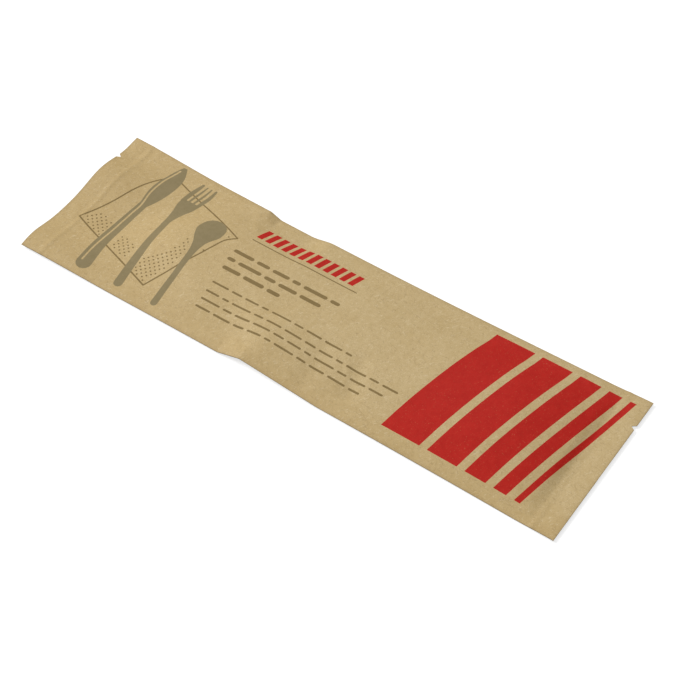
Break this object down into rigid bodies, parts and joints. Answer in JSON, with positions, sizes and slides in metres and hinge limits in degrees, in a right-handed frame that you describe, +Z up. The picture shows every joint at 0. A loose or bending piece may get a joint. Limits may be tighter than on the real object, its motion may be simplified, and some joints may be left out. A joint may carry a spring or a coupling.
{
  "type": "paper cutlery sachet",
  "caption": "Slim sealed kraft paper sachet with flat crimped ends and tear notches, gently filled out by the metal cutlery and napkin inside.",
  "frame": {"origin": "centre of the bounding box on the underside, where the sachet rests", "axes": "+X along the length towards the flat end, +Y across the width towards the folded edge nearest the tear notches, +Z up out of the printed face"},
  "size_m": [0.25, 0.075, 0.0056],
  "materials": {
    "kraft_paper": "matt uncoated brown kraft paper with a faint machine gloss and grey and red flexographic print"
  },
  "bodies": {
    "root": {"cutlery_sachet": "kraft_paper"}
  },
  "joints": []
}
